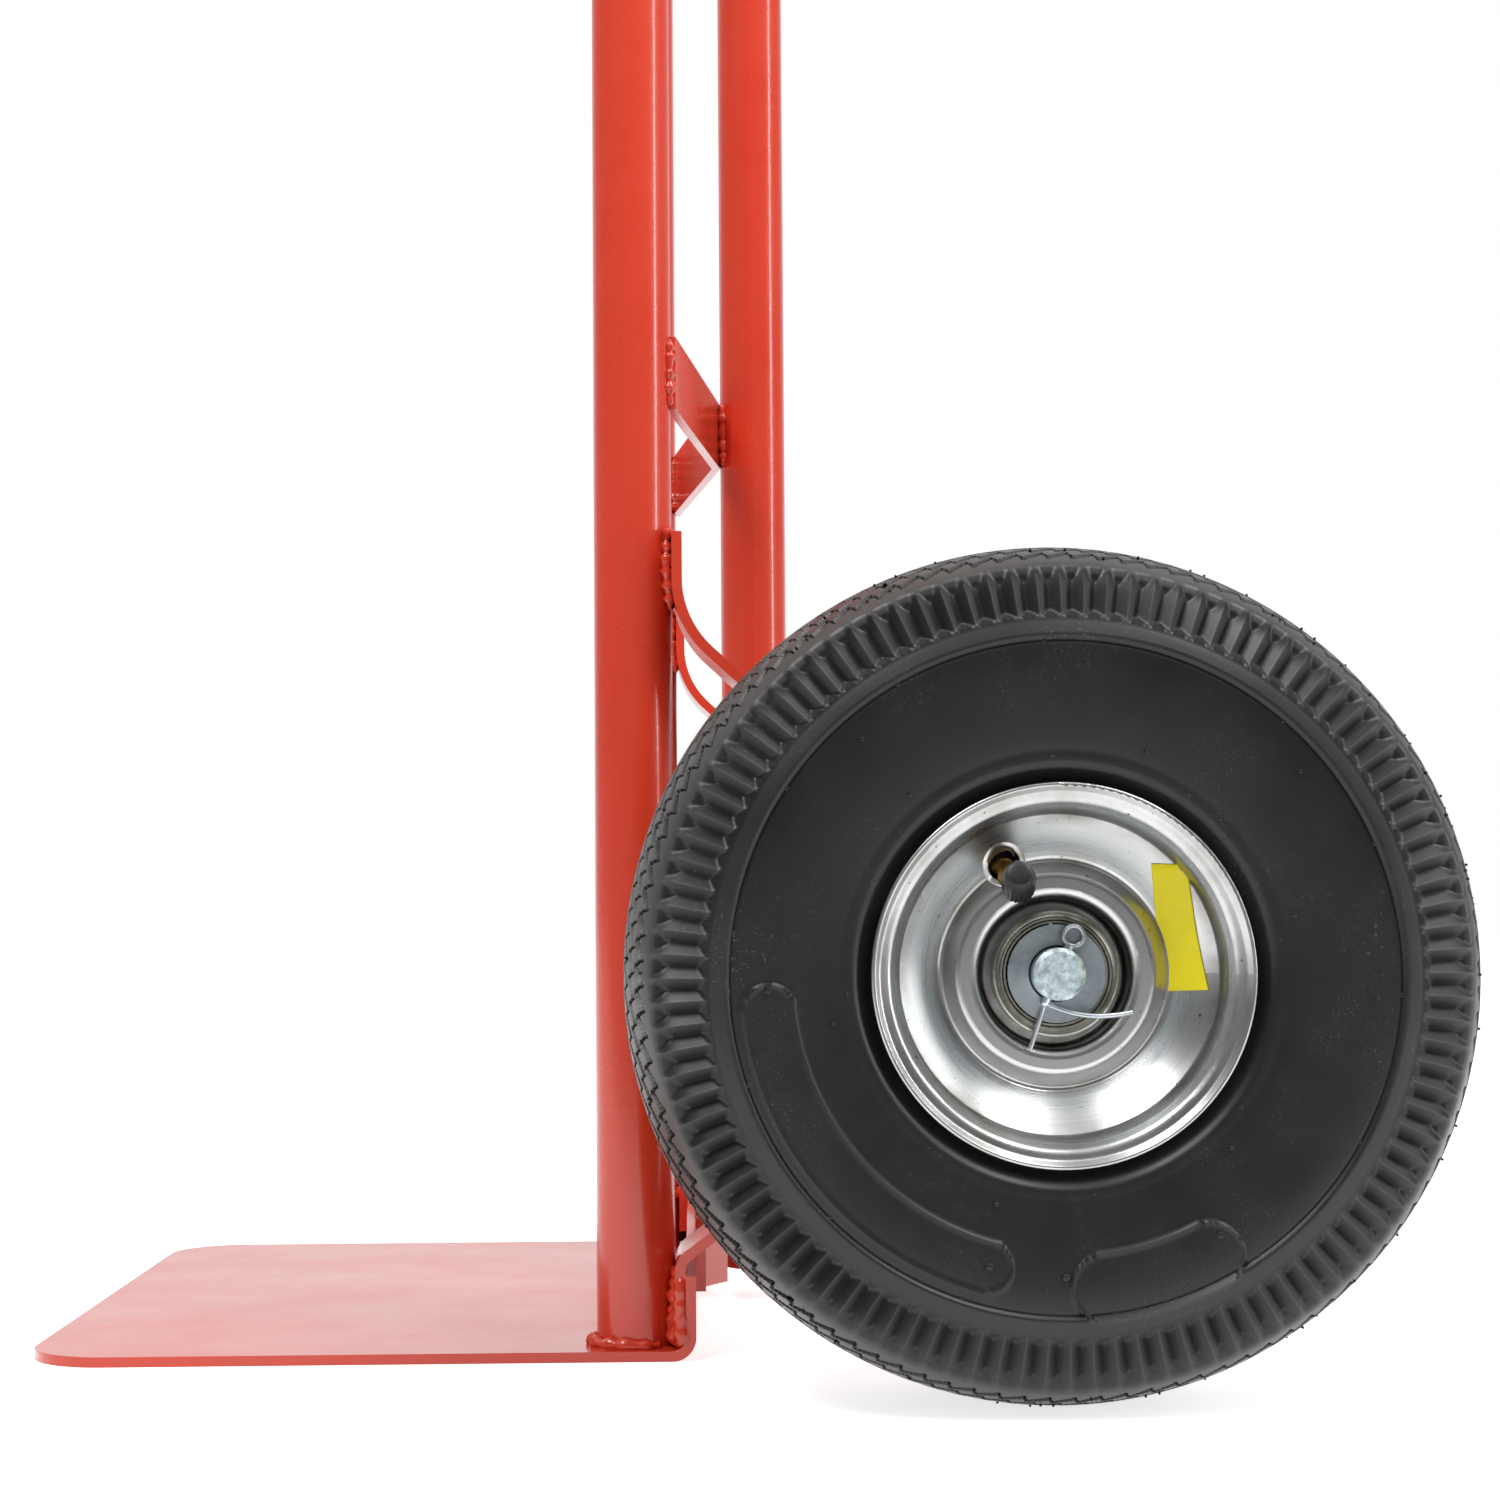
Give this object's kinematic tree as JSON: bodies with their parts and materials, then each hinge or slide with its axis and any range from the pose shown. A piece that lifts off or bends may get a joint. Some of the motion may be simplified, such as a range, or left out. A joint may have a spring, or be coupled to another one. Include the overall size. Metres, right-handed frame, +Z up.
{
  "type": "hand truck",
  "caption": "Welded tube hand truck with a bent toe plate, strap cross braces, hairpin axle brackets, pneumatic wheels on a fixed axle and a single pin handle.",
  "frame": {"origin": "on the floor, under the centre of the bounding box", "axes": "+Z up, -Y forward over the toe plate, +X toward the right wheel along the axle"},
  "size_m": [0.5526, 0.4674, 1.2876],
  "materials": {
    "red_enamel": "glossy",
    "zinc_steel": "satin",
    "rim_steel": "satin",
    "tyre_rubber": "matte",
    "tube_rubber": "matte",
    "grip_rubber": "matte",
    "brass": "satin",
    "cap_plastic": "matte"
  },
  "bodies": {
    "frame": {"toe_plate": "red_enamel", "side_frame_tube": "red_enamel", "spine_tube": "red_enamel", "handle_grip": "grip_rubber", "cross_brace_lower": "red_enamel", "cross_brace_middle": "red_enamel", "cross_brace_upper": "red_enamel", "foot_tie_strap": "red_enamel", "bow_gusset": "red_enamel", "axle_bracket_right": "red_enamel", "axle_bracket_left": "red_enamel", "axle": "zinc_steel", "axle_washers": "zinc_steel", "axle_spacer_right": "zinc_steel", "axle_spacer_left": "zinc_steel", "bearing_cones_right": "zinc_steel", "bearing_cones_left": "zinc_steel", "cotter_pin_right": "zinc_steel", "cotter_pin_left": "zinc_steel"},
    "wheel_right": {"tyre_right": "tyre_rubber", "inner_tube_right": "tube_rubber", "rim_outer_right": "rim_steel", "rim_inner_right": "rim_steel", "hub_tube_right": "rim_steel", "bearing_cups_right": "zinc_steel", "bearing_balls_right": "zinc_steel", "valve_stem_right": "brass", "valve_cap_right": "cap_plastic"},
    "wheel_left": {"tyre_left": "tyre_rubber", "inner_tube_left": "tube_rubber", "rim_outer_left": "rim_steel", "rim_inner_left": "rim_steel", "hub_tube_left": "rim_steel", "bearing_cups_left": "zinc_steel", "bearing_balls_left": "zinc_steel", "valve_stem_left": "brass", "valve_cap_left": "cap_plastic"}
  },
  "joints": [
    {"name": "wheel_right_spin", "type": "hinge", "parent": "frame", "child": "wheel_right", "pos_m": [0.2335, 0.1023, 0.1314], "axis": [1, 0, 0], "continuous": true},
    {"name": "wheel_left_spin", "type": "hinge", "parent": "frame", "child": "wheel_left", "pos_m": [-0.2335, 0.1023, 0.1314], "axis": [1, 0, 0], "continuous": true}
  ]
}
